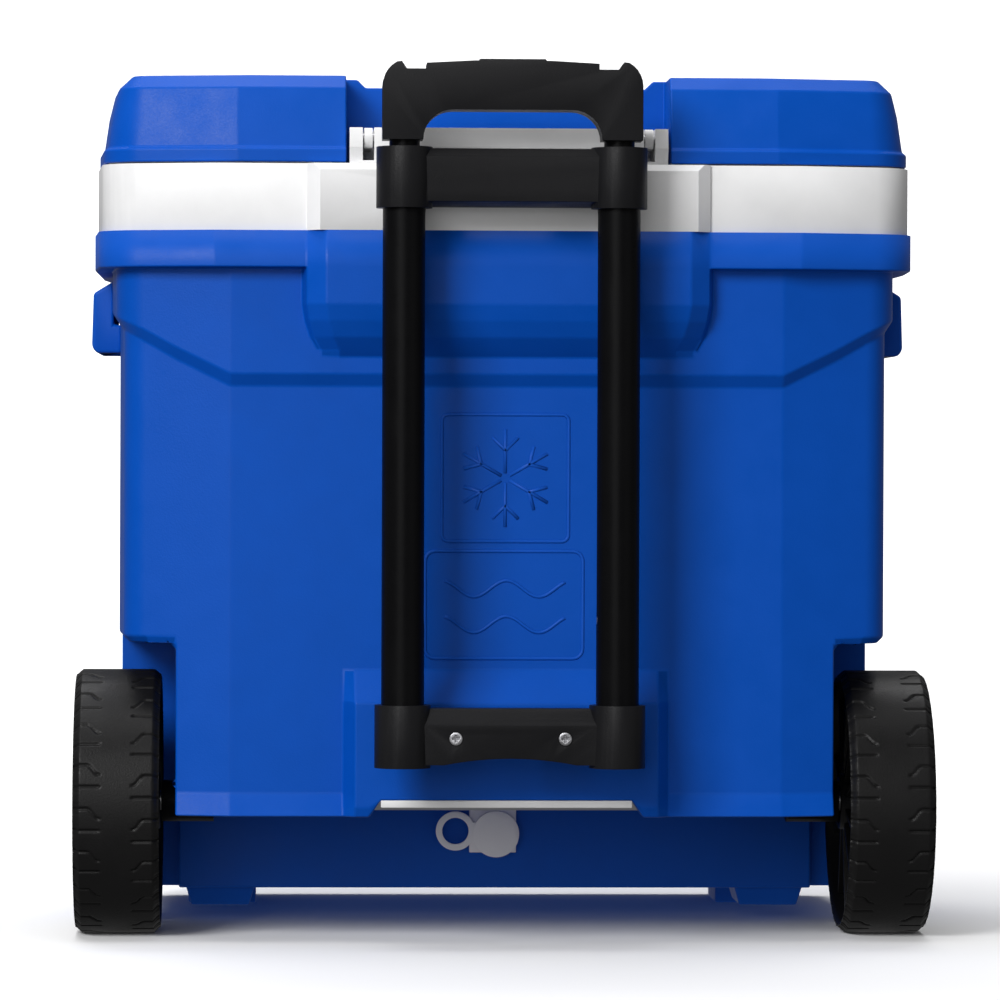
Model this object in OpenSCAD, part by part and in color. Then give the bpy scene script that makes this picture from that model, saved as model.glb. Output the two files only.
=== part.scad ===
/* [Body] */
// Width of the body below its shoulder
body_w = 480; // [470:2:490]
// Depth of the body from its back face to its front face
body_d = 380; // [370:2:400]
// Thickness of the outer shell
wall = 3.5; // [2.5:0.5:4]
// Height of the white rim's top face above the floor
rim_top = 478; // [474:1:482]
// Half width of the flat middle panel of the back and front
facet_x = 170; // [160:1:176]

/* [Lid] */
// Height of the lid's top above the floor
lid_top = 533; // [531:1:536]
// Gap between the closed lid and the rim
lid_gap = 1; // [0.8:0.1:1.5]
// Depth of the lid's notch round the handle, from the back face
notch_d = 44; // [42:1:46]

/* [Handle] */
// Half of the distance between the two handle tubes
tube_x = 65; // [63:0.5:67]
// Distance of the tubes' axes behind the back face
tube_back = 55; // [54:0.5:58]
// How far the handle pulls out
handle_travel = 245; // [200:5:245]
// Travel of the release button
button_travel = 4; // [2:0.5:4]

/* [Wheels] */
// Radius of the wheels
wheel_r = 82.5; // [80:0.5:84]
// Width of the wheels' tread
wheel_w = 53; // [48:1:54]
// Radius of the steel axle
axle_r = 6; // [5:0.5:6.5]

/* [Hidden] */
$fn = 64;
half_w = body_w / 2;
facet_r = 18;                       // corner radius of the body's plan
facet_c = [half_w - 22.2, 30];      // centre of the back corner's arc
collar_r = 17;                      // radius of the brackets' tube collars
tube_r = 13;                        // outer handle tubes
tube_wall = 1.5;
inner_r = 9.25;                     // inner handle tubes
inner_wall = 1.25;
rim_grow = 16;                      // how far the blue rim stands out of the body
band_grow = 14;                     // how far the white band stands out
lid_grow = 13;                      // how far the lid's lower edge stands out
shoulder_grow = 5;
rear_y = tube_back + collar_r;      // furthest point behind the back face
front_y = body_d + rim_grow;        // furthest point in front of it
mid_y = (front_y - rear_y) / 2;     // the origin lies half-way between them
run = 0.05;                         // radial clearance of a running fit
floor_z = 26;                       // inside floor of the outer shell
under_z = 22;                       // underside of the base
well_x = 203;                       // inner side of the wheel wells
well_y = 168;                       // front side of the wheel wells
well_z = 184;                       // top of the wheel wells
recess_y = 150;                     // back panel of the deep base
recess_z = 96;                      // underside of the overhang
lip_z = 78;                         // lower edge of the back lip
trim_z = 84;                        // lower edge of its raised middle and of the trim strip
trim_x = 77;                        // half width of the strip
trim_top = 88.5;
axle_y = 78;
axle_z = wheel_r;
band_z = 437;                       // joint between the blue rim and the white band
rim_z = 414;                        // underside of the blue rim
bulge_x = 123.5;                     // half width of the housing behind the handle
bulge_y = -24;
step_x = 97.5;                      // half width of the raised hinge block
step_z = 500;                       // its top
block_x = 99;                       // half width of the pad under the lower bracket
block_y = -14;
notch_x = 99.5;                     // half width of the lid's notch and valley
valley_x = notch_x + 8.5;           // outside of the walls round them
valley_z = 528;                     // floor of the valley
cup_r = 38;
cup_z = 517;                        // floor of the cup holders
pin_y = -9;                         // hinge axis
pin_z = 494;
pin_r = 2.5;
arm_x = 86;                         // the hinge arms' middle
arm_t = 5;
tub_t = 3;                          // wall of the white tub
tub_x = 207;                        // half width of the tub's cavity
tub_back = 30;
tub_front = body_d - 30;
tub_floor = 42;
shelf_z = 118;                      // the tub's raised floor over the axle
shelf_y = 185;
shelf_top = 200;                    // height to which the wheel wells narrow the tub
shelf_x = 178;
drain_z = 57;
bore_r = 7.5;                       // the drain's bore
stem_r = 11.5;                      // outside of the drain's threaded stem
up_z0 = 449;                        // upper bracket
up_z1 = 486;
low_z0 = 111;                       // lower bracket
low_z1 = 149;
foot_z = low_z0 + 5;                // lower end of the inner tubes' feet
lock_z = 200;                       // lower end of the lock pins' slots
slot_r = 3;                         // half width of the slots
inner_top = 510.5;                  // upper end of the inner tubes
grip_z0 = 490;
grip_z1 = 537;
grip_rear_t = 14;                   // thickness of the grip's rear half
grip_front_t = 11;                  // and of its front half
screw_x = 33;
screw_z = low_z0 + 18;
rod_r = 3;
rod_z = 207;                        // lower end of the push rods
bar_z = 515;                        // underside of the button's cross bar
blue = [0.01, 0.25, 0.72];
white = [0.92, 0.92, 0.93];
black = [0.10, 0.10, 0.11];
steel = [0.75, 0.76, 0.78];
grey = [0.62, 0.62, 0.65];

// Points of an arc about a centre, from angle a0 to a1.
function arc(c, r, a0, a1, n) =
    [for (i = [0:n]) let (a = a0 + (a1 - a0) * i / n) c + r * [cos(a), sin(a)]];
function flip_x(p) = [for (i = [len(p) - 1:-1:0]) [-p[i][0], p[i][1]]];
function flip_y(p) = [for (i = [len(p) - 1:-1:0]) [p[i][0], body_d - p[i][1]]];

// Plan of the body: flat middle, slanted facet, round corner and side,
// grown outwards by g, with y measured from the back face towards the front.
function plan_back(g, fx) = concat([[fx, -g]], arc(facet_c, facet_r + g, -76.5, -5, 16),
    [[half_w + g, 100]]);
function plan_right(g, fx) = concat(plan_back(g, fx), flip_y(plan_back(g, fx)));
module plan(g, fx = facet_x) {
    polygon(concat(plan_right(g, fx), flip_x(plan_right(g, fx))));
}
module slab(g, z0, z1, fx = facet_x) {
    translate([0, 0, z0]) linear_extrude(z1 - z0) plan(g, fx);
}
// A box between two corners.
module span(a, b) {
    translate(a) cube(b - a);
}
// A profile in Y and Z carried along X, centred on x = 0.
module profile_x(points, width) {
    translate([-width / 2, 0, 0]) rotate([90, 0, 90]) linear_extrude(width) polygon(points);
}
// A profile in X and Z carried along Y from y0 to y1.
module profile_y(points, y0, y1) {
    translate([0, y1, 0]) rotate([90, 0, 0]) linear_extrude(y1 - y0) polygon(points);
}
module rod_x(r, x0, x1) {
    translate([x0, 0, 0]) rotate([0, 90, 0]) cylinder(r = r, h = x1 - x0);
}
module rod_y(r, y0, y1) {
    translate([0, y1, 0]) rotate([90, 0, 0]) cylinder(r = r, h = y1 - y0);
}
// Moves a part from back-face coordinates to the frame of the whole cooler.
module placed() {
    translate([0, -mid_y, 0]) children();
}
// A part for the left side (-X) or, mirrored, the right side.
module side(s) {
    if (s < 0) children();
    else mirror([1, 0, 0]) children();
}

// Wheel wells and the hollow under the overhang, grown by g into the body.
module wells(g) {
    for (s = [-1, 1])
        side(s) span([-half_w - 60, -60, -1], [-well_x + g, well_y + g, well_z + g]);
    span([-well_x - 1, 12 - g, -1], [well_x + 1, recess_y + g, recess_z + g]);
    span([-well_x - 1, -60, -1], [well_x + 1, 13 + g, lip_z + g]);
    span([-trim_x - 4 - g, -60, -1], [trim_x + 4 + g, 13 + g, trim_z + g]);
}
// Everything inside the outer shell and the band, up to the tub's deck.
module foam_space() {
    difference() {
        slab(-wall, floor_z, rim_top - 4);
        wells(wall);
    }
}
module tub(g) {
    difference() {
        span([-tub_x - g, tub_back - g, tub_floor - g], [tub_x + g, tub_front + g, rim_top]);
        span([-tub_x - 9, tub_back - 9, tub_floor - 9], [tub_x + 9, shelf_y - g, shelf_z - g]);
        for (s = [-1, 1])
            side(s) span([-tub_x - 9, tub_back - 9, tub_floor - 9],
                [-shelf_x - g, shelf_y - g, shelf_top - g]);
    }
}
// Housing behind the upper bracket, with a slanted foot.
module bulge(z0, z1) {
    intersection() {
        profile_x([[20, 355], [-shoulder_grow, 361], [bulge_y, 391], [bulge_y, rim_top - 4],
            [bulge_y + 4, rim_top], [20, rim_top]], 2 * bulge_x);
        translate([0, 0, z0]) linear_extrude(z1 - z0)
            polygon([[-bulge_x, 20], [-bulge_x, bulge_y + 8], [-bulge_x + 8, bulge_y],
                [bulge_x - 8, bulge_y], [bulge_x, bulge_y + 8], [bulge_x, 20]]);
    }
}
module shoulder() {
    intersection() {
        slab(shoulder_grow, 340, rim_z);
        profile_y([[-260, 387], [-243, 384], [-facet_x - 4, 346], [facet_x + 4, 346],
            [243, 384], [260, 387], [260, 430], [-260, 430]], -30, body_d + 30);
    }
}
module lower_block() {
    profile_x([[10, 170], [0, 168], [block_y, 148], [block_y, trim_z], [-10, lip_z],
        [10, lip_z]], 2 * block_x);
}
module back_lip() {
    intersection() {
        slab(4, lip_z, 88);
        span([-well_x, -20, lip_z], [well_x, 40, 88]);
    }
}
module outer_shell() color(blue) placed() {
    difference() {
        union() {
            slab(0, under_z, rim_z);
            shoulder();
            slab(rim_grow, rim_z + 4, band_z, 180);
            slab(rim_grow - 4, rim_z, rim_z + 4, 180);
            bulge(340, band_z);
        }
        foam_space();
        slab(-wall, 400, band_z + 1);
        wells(0);
        trim_slot();
        lower_screw_holes();
        translate([0, 0, drain_z]) rod_y(stem_r, recess_y - 5, recess_y + 10);
    }
    difference() {
        union() {
            lower_block();
            back_lip();
        }
        wells(0);
        trim_slot();
        span([-well_x - 1, wall, 70], [well_x + 1, 60, 200]);
        lower_screw_holes();
    }
    for (s = [-1, 1])
        side(s) span([-199, 156, 10], [-154, 216, under_z]);
}
module lower_screw_holes() {
    for (x = [-screw_x, screw_x])
        translate([x, 0, screw_z]) rod_y(2.5, block_y - 1, 2);
}
module trim_slot() {
    span([-trim_x, block_y - 1, trim_z - 1], [trim_x, block_y + 3, trim_top]);
}
module base_trim_strip() color(white) placed() {
    span([-trim_x, block_y, trim_z], [trim_x, block_y + 3, trim_top]);
}
module front_feet() color(blue) placed() {
    for (s = [-1, 1])
        side(s) difference() {
            span([-199, 300, 0], [-154, 360, under_z]);
            span([-190, 309, 6], [-163, 351, under_z + 1]);
        }
}

// White tub, deck and band in one moulding, with the raised hinge block at the back.
module inner_liner() color(white) placed() {
    difference() {
        union() {
            difference() {
                union() {
                    slab(band_grow, band_z, rim_top, 180);
                    bulge(band_z, rim_top);
                    hinge_block();
                }
                foam_space();
            }
            tub(tub_t);
        }
        tub(0);
        span([-tub_x, tub_back, rim_top - 1], [tub_x, tub_front, rim_top + 1]);
        translate([0, 0, drain_z]) rod_y(stem_r, shelf_y - 10, shelf_y + 2);
        for (x = [-40, 40])
            translate([x, 0, 464]) {
                rod_y(2, bulge_y - 1, 20);
                rod_y(4.2, -2, 6);
            }
    }
}
module hinge_block() {
    difference() {
        profile_x([[39, 470], [-10, 470], [-17, 488], [-15, step_z], [39, step_z]],
            2 * step_x);
        for (s = [-1, 1])
            side(s) {
                span([-arm_x - 3.5, -30, 480], [-arm_x + 3.5, 50, step_z + 1]);
                span([-arm_x - 10, 34, 479], [-arm_x + 10, 50, step_z + 1]);
                translate([0, pin_y, pin_z]) rod_x(pin_r, -step_x - 1, -70);
            }
    }
}
module foam_insulation() color([0.95, 0.93, 0.80]) placed() {
    difference() {
        foam_space();
        tub(tub_t);
        translate([0, 0, drain_z]) rod_y(stem_r, recess_y, shelf_y + 2);
        for (x = [-40, 40])
            translate([x, 0, 464]) rod_y(4.2, -2, 6);
    }
}

// Moulded grip on the side wall, with a finger pocket open at the bottom.
module side_handle() placed() {
    difference() {
        profile_y([[-half_w, 412], [-half_w - shoulder_grow, 410], [-258, 402], [-259, 368],
            [-256, 364], [-half_w, 364]], 130, 250);
        span([-253, 142, 350], [-half_w, 238, 391]);
        slab(shoulder_grow, 340, rim_z);
    }
    difference() {
        span([-half_w - shoulder_grow, 130, 364], [-half_w, 250, 382]);
        span([-253, 142, 350], [-half_w, 238, 391]);
    }
}
module side_handle_left() color(blue) side_handle();
module side_handle_right() color(blue) side(1) side_handle();

module collars(z0, z1) {
    for (x = [-tube_x, tube_x])
        translate([x, -tube_back, z0]) cylinder(r = collar_r, h = z1 - z0, $fn = 96);
}
module tube_bores(z0, z1) {
    for (x = [-tube_x, tube_x])
        translate([x, -tube_back, z0]) cylinder(r = tube_r, h = z1 - z0, $fn = 96);
}
module upper_bracket() color(black) placed() {
    difference() {
        union() {
            collars(up_z0, up_z1);
            profile_x([[-46, up_z0 + 1], [-65, up_z0 + 4], [-66, up_z1 - 6], [-62, up_z1 - 1],
                [-46, up_z1 - 1]], 2 * tube_x);
            for (s = [-1, 1])
                side(s) span([-54, -47, up_z0 + 3], [-26, bulge_y, rim_top - 4]);
        }
        tube_bores(up_z0 - 1, up_z1 + 1);
        for (x = [-40, 40])
            translate([x, 0, 464]) rod_y(2, -40, -20);
    }
}
module upper_bracket_screws() color(steel) placed() {
    for (x = [-40, 40])
        translate([x, 0, 464]) {
            rod_y(2, -40, -1);
            rod_y(4.2, -2, 1.5);
        }
}
module lower_bracket() color(black) placed() {
    difference() {
        union() {
            collars(low_z0, low_z1);
            difference() {
                profile_x([[-46, low_z0 + 2], [-65, low_z0 + 2], [-66, low_z1 - 12],
                    [-59, low_z1 - 2], [-46, low_z1 - 2]], 2 * tube_x);
                translate([0, 0, low_z0 - 196]) rod_y(202, -70, -40);
            }
            for (s = [-1, 1])
                side(s) span([-50, -47, low_z0 + 5], [-20, block_y, low_z0 + 32]);
        }
        tube_bores(low_z0 + 4, low_z1 + 1);
        for (x = [-screw_x, screw_x])
            translate([x, 0, screw_z]) {
                rod_y(2.5, -70, -10);
                rod_y(4.4, -70, -64);
            }
    }
}
module lower_bracket_screws() color(steel) placed() {
    for (x = [-screw_x, screw_x])
        translate([x, 0, screw_z]) difference() {
            union() {
                rod_y(2.5, -65, 1.8);
                rod_y(4, -66.5, -64);
            }
            span([-2.2, -67, -0.5], [2.2, -65.3, 0.5]);
            span([-0.5, -67, -2.2], [0.5, -65.3, 2.2]);
        }
}
// Outer tube with the slot that the lock pin runs in from the stowed to the pulled-out handle.
module outer_tube() color(black) placed() translate([-tube_x, -tube_back, 0]) difference() {
    translate([0, 0, low_z0 + 4]) cylinder(r = tube_r, h = up_z1 - 2 - low_z0 - 4);
    translate([0, 0, low_z0]) cylinder(r = tube_r - tube_wall, h = 400);
    for (z = [lock_z, lock_z + handle_travel])
        translate([0, 0, z]) rod_x(slot_r, 5, 20);
    span([5, -slot_r, lock_z], [20, slot_r, lock_z + handle_travel]);
}
module outer_tube_left() outer_tube();
module outer_tube_right() side(1) outer_tube();
module tube_bush() color(black) placed() translate([-tube_x, -tube_back, 0]) difference() {
    union() {
        translate([0, 0, 458]) cylinder(r = tube_r - tube_wall, h = 26);
        translate([0, 0, up_z1 - 2]) cylinder(r = tube_r, h = 2);
    }
    translate([0, 0, 450]) cylinder(r = inner_r + run, h = 50);
}
module tube_bush_left() tube_bush();
module tube_bush_right() side(1) tube_bush();

module axle_rod() color(steel) placed() translate([0, axle_y, axle_z]) rod_x(axle_r, -258, 258);
module axle_bearing() color(black) placed() difference() {
    union() {
        span([-well_x, axle_y - 20, axle_z - 10], [-180, axle_y + 20, recess_z]);
        translate([0, axle_y, axle_z]) rod_x(13, -212.6, -180);
    }
    translate([0, axle_y, axle_z]) rod_x(axle_r, -214, -179);
}
module axle_bearing_left() axle_bearing();
module axle_bearing_right() side(1) axle_bearing();
module axle_push_nuts() color(steel) placed() translate([0, axle_y, axle_z])
    for (s = [-1, 1])
        side(s) difference() {
            rod_x(10, -256.5, -254.5);
            rod_x(axle_r, -257, -254);
        }

module drain_fitting() color(grey) placed() translate([0, 0, drain_z]) difference() {
    union() {
        rod_y(15, recess_y - 5, recess_y - 1);
        rod_y(stem_r, recess_y - 3, shelf_y + 8);
        span([-17, recess_y - 5, -12], [13, recess_y - 1, 36]);
    }
    rod_y(bore_r, recess_y - 6, shelf_y + 9);
}
module drain_gasket() color(black) placed() translate([0, 0, drain_z]) difference() {
    rod_y(15, recess_y - 1, recess_y);
    rod_y(stem_r, recess_y - 2, recess_y + 1);
}
module drain_nut() color(grey) placed() translate([0, shelf_y, drain_z]) difference() {
    rotate([-90, 0, 0]) cylinder(r = 14.5, h = 6, $fn = 6);
    rod_y(stem_r, -1, 7);
}
// Stopper with its cap, arm and finger ring in one soft moulding.
module drain_plug() color(grey) placed() translate([0, 0, drain_z]) difference() {
    union() {
        rod_y(bore_r - run, recess_y - 6, recess_y + 14);
        rod_y(14.75, recess_y - 10, recess_y - 5.3);
        span([-20, recess_y - 9, -5.5], [0, recess_y - 5.5, 7.5]);
        translate([-26, 0, 2]) rod_y(12.5, recess_y - 9, recess_y - 5.5);
    }
    translate([-26, 0, 2]) rod_y(8.5, recess_y - 12, recess_y - 4);
}

module hinge_pin() color(steel) placed() translate([0, pin_y, pin_z]) rod_x(pin_r, -step_x, -76);
module hinge_pin_left() hinge_pin();
module hinge_pin_right() side(1) hinge_pin();
module lid_hinge() color(white) placed() difference() {
    union() {
        translate([0, pin_y, pin_z]) rod_x(6, -arm_x - arm_t / 2, -arm_x + arm_t / 2);
        span([-arm_x - arm_t / 2, pin_y, pin_z - 6], [-arm_x + arm_t / 2, notch_d, pin_z + 6]);
        span([-arm_x - 8, notch_d - 4, 481], [-arm_x + 8, notch_d, pin_z + 6]);
    }
    translate([0, pin_y, pin_z]) rod_x(pin_r + run, -arm_x - 9, -arm_x + 9);
    for (x = [-arm_x - 5.4, -arm_x + 5.4])
        translate([x, 0, 488]) rod_y(1.5, notch_d - 5, notch_d + 1);
}
module lid_hinge_left() lid_hinge();
module lid_hinge_right() side(1) lid_hinge();
module lid_hinge_screws() color(steel) placed()
    for (s = [-1, 1])
        side(s) for (x = [-arm_x - 5.4, -arm_x + 5.4])
            translate([x, 0, 488]) {
                rod_y(1.5, notch_d - 5, notch_d + 3.5);
                rod_y(2.4, notch_d - 5.2, notch_d - 4);
            }

// Outside of the lid: two raised halves with a shallow valley between them.
module lid_form(drop, z0 = rim_top + lid_gap) {
    hull() {
        slab(lid_grow - drop, z0, 488, 166);
        slab(8 - drop, 510, 510.1, 166);
        slab(2 - drop, 526 - drop, 526.1 - drop, 166);
        slab(-6 - drop, lid_top - 0.1 - drop, lid_top - drop, 160);
    }
}
module lid_shell() color(blue) placed() difference() {
    lid_form(0);
    difference() {
        lid_form(wall, rim_top);
        valley_walls();
        cup_bosses();
    }
    span([-notch_x, -40, 470], [notch_x, notch_d, 560]);
    profile_y([[-notch_x - 6, 560], [-notch_x - 5, lid_top + 0.1], [-notch_x, valley_z],
        [notch_x, valley_z], [notch_x + 5, lid_top + 0.1], [notch_x + 6, 560]],
        -30, body_d + 30);
    cups(cup_r, cup_z);
    for (s = [-1, 1])
        side(s) for (x = [-arm_x - 5.4, -arm_x + 5.4])
            translate([x, 0, 488]) rod_y(1.5, notch_d - 1, notch_d + wall + 1);
}
// Material kept round the notch and under the valley.
module valley_walls() {
    span([-valley_x, -30, 470], [valley_x, notch_d + wall, 560]);
    span([-valley_x, -30, valley_z - wall], [valley_x, body_d + 30, 560]);
}
// Cup holders sunk in the lid's two halves.
module cups(r, z0) {
    for (x = [-165, 165], y = [90, body_d - 90])
        translate([x, y, z0]) cylinder(r = r, h = 30);
}
module cup_bosses() {
    cups(cup_r + wall, cup_z - wall);
}
module lid_liner() color(white) placed() {
    difference() {
        slab(lid_grow - wall, rim_top + lid_gap, rim_top + lid_gap + 3, 166);
        valley_walls();
    }
    span([-199, tub_back + 20, 467], [199, tub_front - 8, rim_top + lid_gap + 1]);
}
module lid_foam() color([0.95, 0.93, 0.80]) placed() difference() {
    lid_form(wall);
    span([-300, -60, 470], [300, 500, rim_top + lid_gap + 3]);
    valley_walls();
    cup_bosses();
}

module inner_tube() color(black) placed() translate([-tube_x, -tube_back, 0]) difference() {
    translate([0, 0, foot_z + 6]) cylinder(r = inner_r, h = inner_top - foot_z - 6);
    translate([0, 0, foot_z]) cylinder(r = inner_r - inner_wall, h = 400);
    translate([0, 0, lock_z]) rod_x(pin_r + run, 5, 20);
}
module inner_tube_left() inner_tube();
module inner_tube_right() side(1) inner_tube();
module inner_tube_foot() color(white) placed() translate([-tube_x, -tube_back, 0]) difference() {
    translate([0, 0, foot_z]) cylinder(r = tube_r - tube_wall - run, h = 28);
    translate([0, 0, foot_z + 6]) cylinder(r = inner_r, h = 30);
    translate([0, 0, foot_z - 1]) cylinder(r = 4, h = 20);
}
module inner_tube_foot_left() inner_tube_foot();
module inner_tube_foot_right() side(1) inner_tube_foot();
module rod_guide() color(white) placed() translate([-tube_x, -tube_back, 0]) difference() {
    translate([0, 0, 478]) cylinder(r = inner_r - inner_wall, h = 6);
    translate([0, 0, 470]) cylinder(r = rod_r + run, h = 20);
}
module rod_guide_left() rod_guide();
module rod_guide_right() side(1) rod_guide();

// Outline of the grip: horned shoulders, raised middle and an arched hand opening.
function grip_right() = concat(
    [[0, grip_z1 + 0.8], [24, grip_z1 + 0.5], [52, grip_z1 - 1], [52, grip_z1 - 4.5],
     [64, grip_z1 - 4.5], [67, grip_z1]],
    arc([62.5, grip_z1 - 14.5], 16, 62, 0, 5),
    [[78.5, grip_z0], [54, grip_z0]], arc([36, grip_z0], 18, 0, 90, 8),
    [[0, grip_z0 + 18]]);
module grip_form(y0, y1) {
    profile_y(concat(grip_right(), flip_x(grip_right())), -tube_back + y0, -tube_back + y1);
}
module grip_hollows() {
    for (s = [-1, 1])
        side(s) translate([-tube_x, -tube_back, 480]) cylinder(r = inner_r, h = inner_top - 480);
    // Room for the cross bar, the button and their travel
    span([-tube_x - 4.5, -tube_back - 4, bar_z - button_travel - 0.6],
        [tube_x + 4.5, -tube_back + 4, bar_z + 4.4]);
    span([-21, -tube_back - 9.5, 522 - button_travel - 0.4], [21, -tube_back + 9.5, 560]);
    for (x = [-40, 40])
        translate([x, 0, 526]) rod_y(1.6, -tube_back - 8, -tube_back + grip_front_t + 1);
}
module grip_rear() color(black) placed() difference() {
    grip_form(-grip_rear_t, 0);
    grip_hollows();
}
module grip_front() color(black) placed() difference() {
    grip_form(0, grip_front_t);
    grip_hollows();
    for (x = [-40, 40])
        translate([x, 0, 526]) rod_y(3, -tube_back + grip_front_t - 2.5, -tube_back + grip_front_t + 1);
}
module grip_screws() color(steel) placed()
    for (x = [-40, 40])
        translate([x, 0, 526]) {
            rod_y(1.6, -tube_back - 8, -tube_back + grip_front_t - 2);
            rod_y(3, -tube_back + grip_front_t - 2.5, -tube_back + grip_front_t - 0.5);
        }
// Push button, its cross bar and the collars that rest on the springs.
module release_button() color(black) placed() {
    span([-20.5, -tube_back - 9, 522], [20.5, -tube_back + 9, grip_z1 + 2]);
    span([-3, -tube_back - 3.5, bar_z], [3, -tube_back + 3.5, 523]);
    span([-tube_x - 3, -tube_back - 3.5, bar_z], [tube_x + 3, -tube_back + 3.5, bar_z + 4]);
}
// Rod down the inner tube; the wedge at its end draws the lock pin in.
module push_rod() color(steel) placed() translate([-tube_x, -tube_back, 0]) difference() {
    union() {
        translate([0, 0, rod_z]) cylinder(r = rod_r, h = bar_z - rod_z);
        translate([0, 0, 500]) cylinder(r = 7, h = 2);
    }
    profile_y([[rod_r + 1, rod_z - 1.4], [-rod_r - 1, rod_z - 1.4],
        [-rod_r - 1, rod_z + 4 / 3 * (2 * rod_r + 1)], [rod_r, rod_z]], -5, 5);
}
module push_rod_left() push_rod();
module push_rod_right() side(1) push_rod();
module lock_pin() color(steel) placed() translate([-tube_x, -tube_back, 0]) {
    translate([0, 0, lock_z]) rod_x(pin_r, -1, 12.7);
    profile_y([[2, lock_z - pin_r], [2, rod_z + 4 / 3 - 0.15],
        [-4.3, rod_z + 4 / 3 * 7.3 - 0.15], [-4.3, lock_z - pin_r]], -pin_r, pin_r);
}
module lock_pin_left() lock_pin();
module lock_pin_right() side(1) lock_pin();
// One helical spring, wound from a circle carried round as it rises.
module coil(r, wire, z0, z1, turns) {
    translate([0, 0, z0 + wire]) linear_extrude(z1 - z0 - 2 * wire, twist = -360 * turns,
        slices = 12 * turns, segments = 8, $fn = 8) translate([r, 0]) circle(r = wire, $fn = 8);
}
module button_springs() color(steel) placed()
    for (s = [-1, 1])
        translate([s * tube_x, -tube_back, 0]) coil(5.4, 0.7, 484, 500, 5);

// Moulded wheel: hollow towards the body, with a web, ribs and a hub.
module wheel() color(black) placed() translate([0, axle_y, axle_z]) difference() {
    union() {
        rotate([0, -90, 0]) rotate_extrude($fn = 96) polygon([
            [axle_r, 213.5], [17, 213.5], [17, 246], [wheel_r - 7, 246], [wheel_r - 7, 214.5],
            [wheel_r - 3, 213], [wheel_r - 0.8, 214.2], [wheel_r, 218],
            [wheel_r, 213 + wheel_w - 5], [wheel_r - 0.8, 213 + wheel_w - 1.2],
            [wheel_r - 3, 213 + wheel_w], [wheel_r - 9, 213 + wheel_w],
            [wheel_r - 14, 252], [26, 252], [22, 261], [axle_r, 261]]);
        for (i = [0:9])
            rotate([i * 36, 0, 0]) span([-247, -2, 12], [-219, 2, wheel_r - 5]);
    }
    rod_x(axle_r + run, -270, -200);
    rod_x(14, -266, -254);
}
module wheel_left() wheel();
module wheel_right() side(1) wheel();
module wheel_cap() color(black) placed() translate([0, axle_y, axle_z]) difference() {
    union() {
        rod_x(13.95, -262, -257.5);
        rod_x(18, -264.5, -261.1);
    }
    rod_x(11, -261, -256);
}
module wheel_cap_left() wheel_cap();
module wheel_cap_right() side(1) wheel_cap();

outer_shell();
inner_liner();
foam_insulation();
base_trim_strip();
front_feet();
side_handle_left();
side_handle_right();
upper_bracket();
lower_bracket();
upper_bracket_screws();
lower_bracket_screws();
outer_tube_left();
outer_tube_right();
tube_bush_left();
tube_bush_right();
axle_rod();
axle_bearing_left();
axle_bearing_right();
axle_push_nuts();
drain_fitting();
drain_gasket();
drain_nut();
hinge_pin_left();
hinge_pin_right();
lid_shell();
lid_liner();
lid_foam();
lid_hinge_left();
lid_hinge_right();
lid_hinge_screws();
inner_tube_left();
inner_tube_right();
inner_tube_foot_left();
inner_tube_foot_right();
rod_guide_left();
rod_guide_right();
grip_rear();
grip_front();
grip_screws();
button_springs();
release_button();
push_rod_left();
push_rod_right();
lock_pin_left();
lock_pin_right();
wheel_left();
wheel_right();
wheel_cap_left();
wheel_cap_right();
drain_plug();
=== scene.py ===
"""Wheeled cooler: the looks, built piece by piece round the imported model."""
import math

import bmesh
import bpy
import numpy as np
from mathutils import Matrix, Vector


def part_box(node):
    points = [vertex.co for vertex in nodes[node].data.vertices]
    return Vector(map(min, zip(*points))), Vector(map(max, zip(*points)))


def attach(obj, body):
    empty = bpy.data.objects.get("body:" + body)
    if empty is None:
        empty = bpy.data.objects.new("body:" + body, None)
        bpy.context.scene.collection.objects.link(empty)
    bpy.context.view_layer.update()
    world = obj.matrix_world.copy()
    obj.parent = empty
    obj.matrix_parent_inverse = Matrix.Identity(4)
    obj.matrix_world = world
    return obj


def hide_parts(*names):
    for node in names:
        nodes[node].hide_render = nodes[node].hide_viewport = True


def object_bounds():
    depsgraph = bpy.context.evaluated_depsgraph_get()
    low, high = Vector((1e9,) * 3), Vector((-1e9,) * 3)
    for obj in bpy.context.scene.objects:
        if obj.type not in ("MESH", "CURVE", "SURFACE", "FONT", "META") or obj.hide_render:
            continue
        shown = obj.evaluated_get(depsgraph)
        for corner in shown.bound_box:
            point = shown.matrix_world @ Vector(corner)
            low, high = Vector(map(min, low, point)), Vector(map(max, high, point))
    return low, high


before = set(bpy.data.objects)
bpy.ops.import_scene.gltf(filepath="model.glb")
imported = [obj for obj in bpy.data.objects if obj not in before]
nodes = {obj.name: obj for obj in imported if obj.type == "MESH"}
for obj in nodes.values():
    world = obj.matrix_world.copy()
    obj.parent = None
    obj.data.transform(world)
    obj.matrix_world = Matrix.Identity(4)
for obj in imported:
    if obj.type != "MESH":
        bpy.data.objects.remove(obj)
cad_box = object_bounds()


# ---- Camera ------------------------------------------------------------------
# A long lens a few metres behind the cooler, a little left of its middle and
# about as high as its waist, turned and rolled slightly to frame the handle side.
camera = bpy.data.objects.new("camera", bpy.data.cameras.new("camera"))
bpy.context.scene.collection.objects.link(camera)
camera.location = (-0.1461, -3.512, 0.303)
camera.rotation_euler = (math.pi / 2 - 0.0091, -0.0037, -0.0423)
camera.data.lens = 196.4
camera.data.sensor_width = 36.0
bpy.context.scene.camera = camera
bpy.context.scene.view_settings.view_transform = "Standard"


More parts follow.
